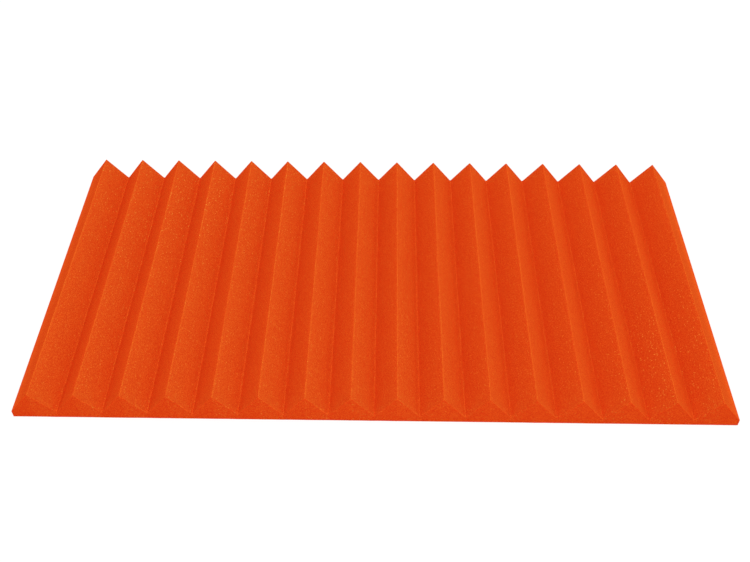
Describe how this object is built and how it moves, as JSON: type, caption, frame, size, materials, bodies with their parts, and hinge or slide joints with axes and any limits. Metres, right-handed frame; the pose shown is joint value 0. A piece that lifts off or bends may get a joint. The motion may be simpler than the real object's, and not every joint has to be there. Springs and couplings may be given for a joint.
{
  "type": "acoustic foam panel",
  "caption": "Rectangular slab of open-cell foam: straight parallel wedges, cut square at both ends, stand on a thin solid base with a flat back for gluing to a wall or ceiling.",
  "frame": {"origin": "centre of the flat back, in its plane", "axes": "+X across the wedges, along the panel's long side; +Y along the crests, away from the viewer; +Z out of the back towards the crests"},
  "size_m": [1, 0.5, 0.05],
  "materials": {
    "foam": "matte open-cell polyurethane foam, dyed orange through, with wire-cut faces"
  },
  "bodies": {
    "root": {"foam_panel": "foam"}
  },
  "joints": []
}
